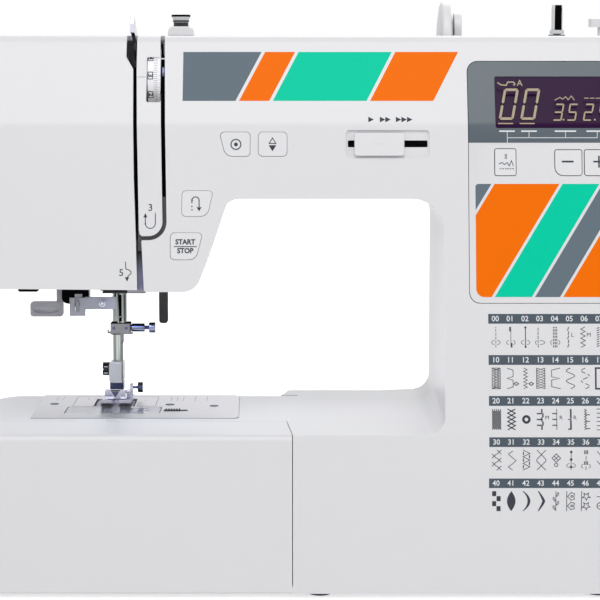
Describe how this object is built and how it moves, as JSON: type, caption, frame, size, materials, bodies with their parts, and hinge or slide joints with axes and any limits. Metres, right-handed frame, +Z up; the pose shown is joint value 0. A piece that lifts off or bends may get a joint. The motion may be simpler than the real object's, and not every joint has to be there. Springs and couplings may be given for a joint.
{
  "type": "sewing machine",
  "caption": "Computerised free-arm sewing machine with a leaning front, key panel with display, push buttons, zigzag foot, slide-off extension table and handwheel.",
  "frame": {"origin": "centre of the bounding box, on the ground under the feet", "axes": "+X to the handwheel end, -Y to the front with the panel, +Z up"},
  "size_m": [0.402, 0.176, 0.296],
  "materials": {
    "casing_white": "satin moulded",
    "base_grey": "fine texture",
    "rubber": "matt",
    "panel_grey": "smooth",
    "display": "clear over dark",
    "board_green": "solder mask",
    "frame_metal": "cast",
    "motor_metal": "satin",
    "black_plastic": "satin",
    "steel": "brushed",
    "chrome": "polished",
    "clear_plastic": "clear",
    "knob_grey": "satin"
  },
  "bodies": {
    "machine": {"base_plate": "base_grey", "rubber_feet": "rubber", "front_cover": "casing_white", "rear_cover": "casing_white", "face_cover": "casing_white", "top_cover": "casing_white", "free_arm_cover": "casing_white", "needle_plate": "steel", "control_panel": "panel_grey", "display_window": "display", "circuit_boards": "board_green", "machine_frame": "frame_metal", "drive_motor": "motor_metal", "drive_belts": "rubber", "head_lamp": "black_plastic", "power_inlet": "black_plastic", "cover_screws": "steel", "bobbin_holder": "black_plastic", "spool_pin": "casing_white", "thread_guide": "chrome", "tension_unit": "steel"},
    "main_shaft": {"upper_shaft": "steel", "handwheel": "casing_white"},
    "connecting_rod": {"connecting_rod": "steel"},
    "lower_shaft": {"lower_shaft": "steel"},
    "rotary_hook": {"rotary_hook": "steel"},
    "motor_pulley": {"motor_pulley": "steel"},
    "needle_bar": {"needle_bar": "chrome", "needle_clamp": "chrome", "needle": "chrome"},
    "needle_clamp_screw": {"needle_clamp_screw": "chrome"},
    "take_up_lever": {"take_up_lever": "chrome"},
    "presser": {"presser_bar": "chrome", "presser_spring": "steel", "foot_holder": "chrome", "presser_foot": "chrome"},
    "foot_holder_screw": {"foot_holder_screw": "black_plastic"},
    "presser_lifter": {"presser_lifter": "black_plastic"},
    "tension_dial": {"tension_dial": "casing_white"},
    "needle_threader": {"needle_threader": "knob_grey"},
    "start_stop_button": {"start_stop_button": "casing_white"},
    "reverse_button": {"reverse_button": "casing_white"},
    "lock_stitch_button": {"lock_stitch_button": "casing_white"},
    "needle_position_button": {"needle_position_button": "casing_white"},
    "speed_slider": {"speed_slider": "casing_white"},
    "mode_key": {"mode_key": "casing_white"},
    "minus_key": {"minus_key": "casing_white"},
    "plus_key": {"plus_key": "casing_white"},
    "winder_arm": {"winder_arm": "knob_grey"},
    "winder_spindle": {"winder_spindle": "chrome"},
    "bobbin": {"bobbin": "clear_plastic"},
    "hook_cover": {"hook_cover_plate": "clear_plastic"},
    "hook_cover_latch": {"hook_cover_latch": "black_plastic"},
    "extension_table": {"extension_table": "casing_white"},
    "feed_bar": {"feed_bar": "steel"},
    "feed_dog": {"feed_dog": "chrome"},
    "drop_feed_lever": {"drop_feed_lever": "black_plastic"},
    "carrying_handle": {"carrying_handle": "casing_white"},
    "power_switch": {"power_switch": "black_plastic"},
    "spool_cap": {"spool_cap": "casing_white"}
  },
  "joints": [
    {"name": "main_shaft", "type": "hinge", "parent": "machine", "child": "main_shaft", "pos_m": [0, 0.009, 0.236], "axis": [1, 0, 0], "continuous": true},
    {"name": "connecting_rod", "type": "hinge", "parent": "main_shaft", "child": "connecting_rod", "pos_m": [-0.12, 0.009, 0.25075], "axis": [1, 0, 0], "continuous": true},
    {"name": "lower_shaft", "type": "hinge", "parent": "machine", "child": "lower_shaft", "pos_m": [0, 0.0069, 0.048], "axis": [1, 0, 0], "continuous": true},
    {"name": "hook_spin", "type": "hinge", "parent": "machine", "child": "rotary_hook", "pos_m": [-0.1276, -0.0115, 0.066], "axis": [0, 0, 1], "continuous": true},
    {"name": "motor_spin", "type": "hinge", "parent": "machine", "child": "motor_pulley", "pos_m": [0.14, -0.03, 0.118], "axis": [1, 0, 0], "continuous": true},
    {"name": "needle_bar", "type": "slide", "parent": "machine", "child": "needle_bar", "axis": [0, 0, -1], "range_m": [0, 0.0295]},
    {"name": "take_up_lever", "type": "hinge", "parent": "machine", "child": "take_up_lever", "pos_m": [-0.114, 0.02, 0.264], "axis": [1, 0, 0], "range_deg": [0, 58]},
    {"name": "needle_clamp_screw", "type": "hinge", "parent": "needle_bar", "child": "needle_clamp_screw", "pos_m": [-0.115, 0.009, 0.1233], "axis": [1, 0, 0], "continuous": true},
    {"name": "presser_lifter", "type": "hinge", "parent": "machine", "child": "presser_lifter", "pos_m": [-0.11, 0.034, 0.15], "axis": [1, 0, 0], "range_deg": [0, 80]},
    {"name": "presser_lift", "type": "slide", "parent": "machine", "child": "presser", "axis": [0, 0, 1], "range_m": [0, 0.0055], "deforming": ["presser_spring"]},
    {"name": "foot_holder_screw", "type": "hinge", "parent": "presser", "child": "foot_holder_screw", "pos_m": [-0.134, 0.022, 0.0991], "axis": [1, 0, 0], "continuous": true},
    {"name": "tension_dial", "type": "hinge", "parent": "machine", "child": "tension_dial", "pos_m": [-0.103, -0.0236, 0.2556], "axis": [1, 0, 0], "continuous": true},
    {"name": "needle_threader", "type": "slide", "parent": "machine", "child": "needle_threader", "axis": [0, 0, -1], "range_m": [0, 0.018], "stiffness_N_per_m": 20, "springref_m": -0.004},
    {"name": "start_stop_button", "type": "slide", "parent": "machine", "child": "start_stop_button", "axis": [0, 1, 0], "range_m": [0, 0.0012], "stiffness_N_per_m": 300},
    {"name": "reverse_button", "type": "slide", "parent": "machine", "child": "reverse_button", "axis": [0, 1, 0], "range_m": [0, 0.0012], "stiffness_N_per_m": 300},
    {"name": "lock_stitch_button", "type": "slide", "parent": "machine", "child": "lock_stitch_button", "axis": [0, 1, 0], "range_m": [0, 0.0012], "stiffness_N_per_m": 300},
    {"name": "needle_position_button", "type": "slide", "parent": "machine", "child": "needle_position_button", "axis": [0, 1, 0], "range_m": [0, 0.0012], "stiffness_N_per_m": 300},
    {"name": "speed_slider", "type": "slide", "parent": "machine", "child": "speed_slider", "axis": [1, 0, 0], "range_m": [-0.003, 0.0115]},
    {"name": "mode_key", "type": "slide", "parent": "machine", "child": "mode_key", "axis": [0, 1, 0], "range_m": [0, 0.0006], "stiffness_N_per_m": 300},
    {"name": "minus_key", "type": "slide", "parent": "machine", "child": "minus_key", "axis": [0, 1, 0], "range_m": [0, 0.0006], "stiffness_N_per_m": 300},
    {"name": "plus_key", "type": "slide", "parent": "machine", "child": "plus_key", "axis": [0, 1, 0], "range_m": [0, 0.0006], "stiffness_N_per_m": 300},
    {"name": "winder_shift", "type": "slide", "parent": "machine", "child": "winder_arm", "axis": [1, 0, 0], "range_m": [0, 0.004]},
    {"name": "winder_spin", "type": "hinge", "parent": "winder_arm", "child": "winder_spindle", "pos_m": [0.1055, 0.009, 0.28], "axis": [0, 0, 1], "continuous": true},
    {"name": "bobbin_spin", "type": "hinge", "parent": "machine", "child": "bobbin", "pos_m": [-0.1276, -0.0115, 0.07], "axis": [0, 0, 1], "continuous": true},
    {"name": "hook_cover_pop_up", "type": "hinge", "parent": "machine", "child": "hook_cover", "pos_m": [-0.1522, -0.013, 0.0809], "axis": [0, -1, 0], "range_deg": [0, 1.3]},
    {"name": "hook_cover_latch", "type": "slide", "parent": "machine", "child": "hook_cover_latch", "axis": [1, 0, 0], "range_m": [0, 0.0026], "stiffness_N_per_m": 120},
    {"name": "extension_table", "type": "slide", "parent": "machine", "child": "extension_table", "axis": [-1, 0, 0], "range_m": [0, 0.165]},
    {"name": "feed_drop", "type": "slide", "parent": "machine", "child": "feed_bar", "axis": [0, 0, -1], "range_m": [0, 0.003]},
    {"name": "feed_motion", "type": "slide", "parent": "feed_bar", "child": "feed_dog", "axis": [0, 1, 0], "range_m": [-0.0025, 0.0025]},
    {"name": "drop_feed_lever", "type": "slide", "parent": "machine", "child": "drop_feed_lever", "axis": [1, 0, 0], "range_m": [0, 0.012]},
    {"name": "carrying_handle", "type": "hinge", "parent": "machine", "child": "carrying_handle", "pos_m": [0, 0.07, 0.262], "axis": [1, 0, 0], "range_deg": [0, 180]},
    {"name": "power_switch", "type": "hinge", "parent": "machine", "child": "power_switch", "pos_m": [0.175, 0.042, 0.061], "axis": [0, 1, 0], "range_deg": [-16, 0]},
    {"name": "spool_cap", "type": "slide", "parent": "machine", "child": "spool_cap", "axis": [-1, 0, 0], "range_m": [0, 0.06]}
  ],
  "couplings": [
    {"joint": "connecting_rod", "follows": "main_shaft", "ratio": -1},
    {"joint": "lower_shaft", "follows": "main_shaft", "ratio": 1},
    {"joint": "hook_spin", "follows": "main_shaft", "ratio": -2},
    {"joint": "motor_spin", "follows": "main_shaft", "ratio": 5},
    {"joint": "take_up_lever", "follows": "needle_bar", "rad_per_m": 34.019},
    {"joint": "presser_lifter", "follows": "presser_lift", "rad_per_m": 253.8},
    {"joint": "drop_feed_lever", "follows": "feed_drop", "ratio": 4}
  ]
}
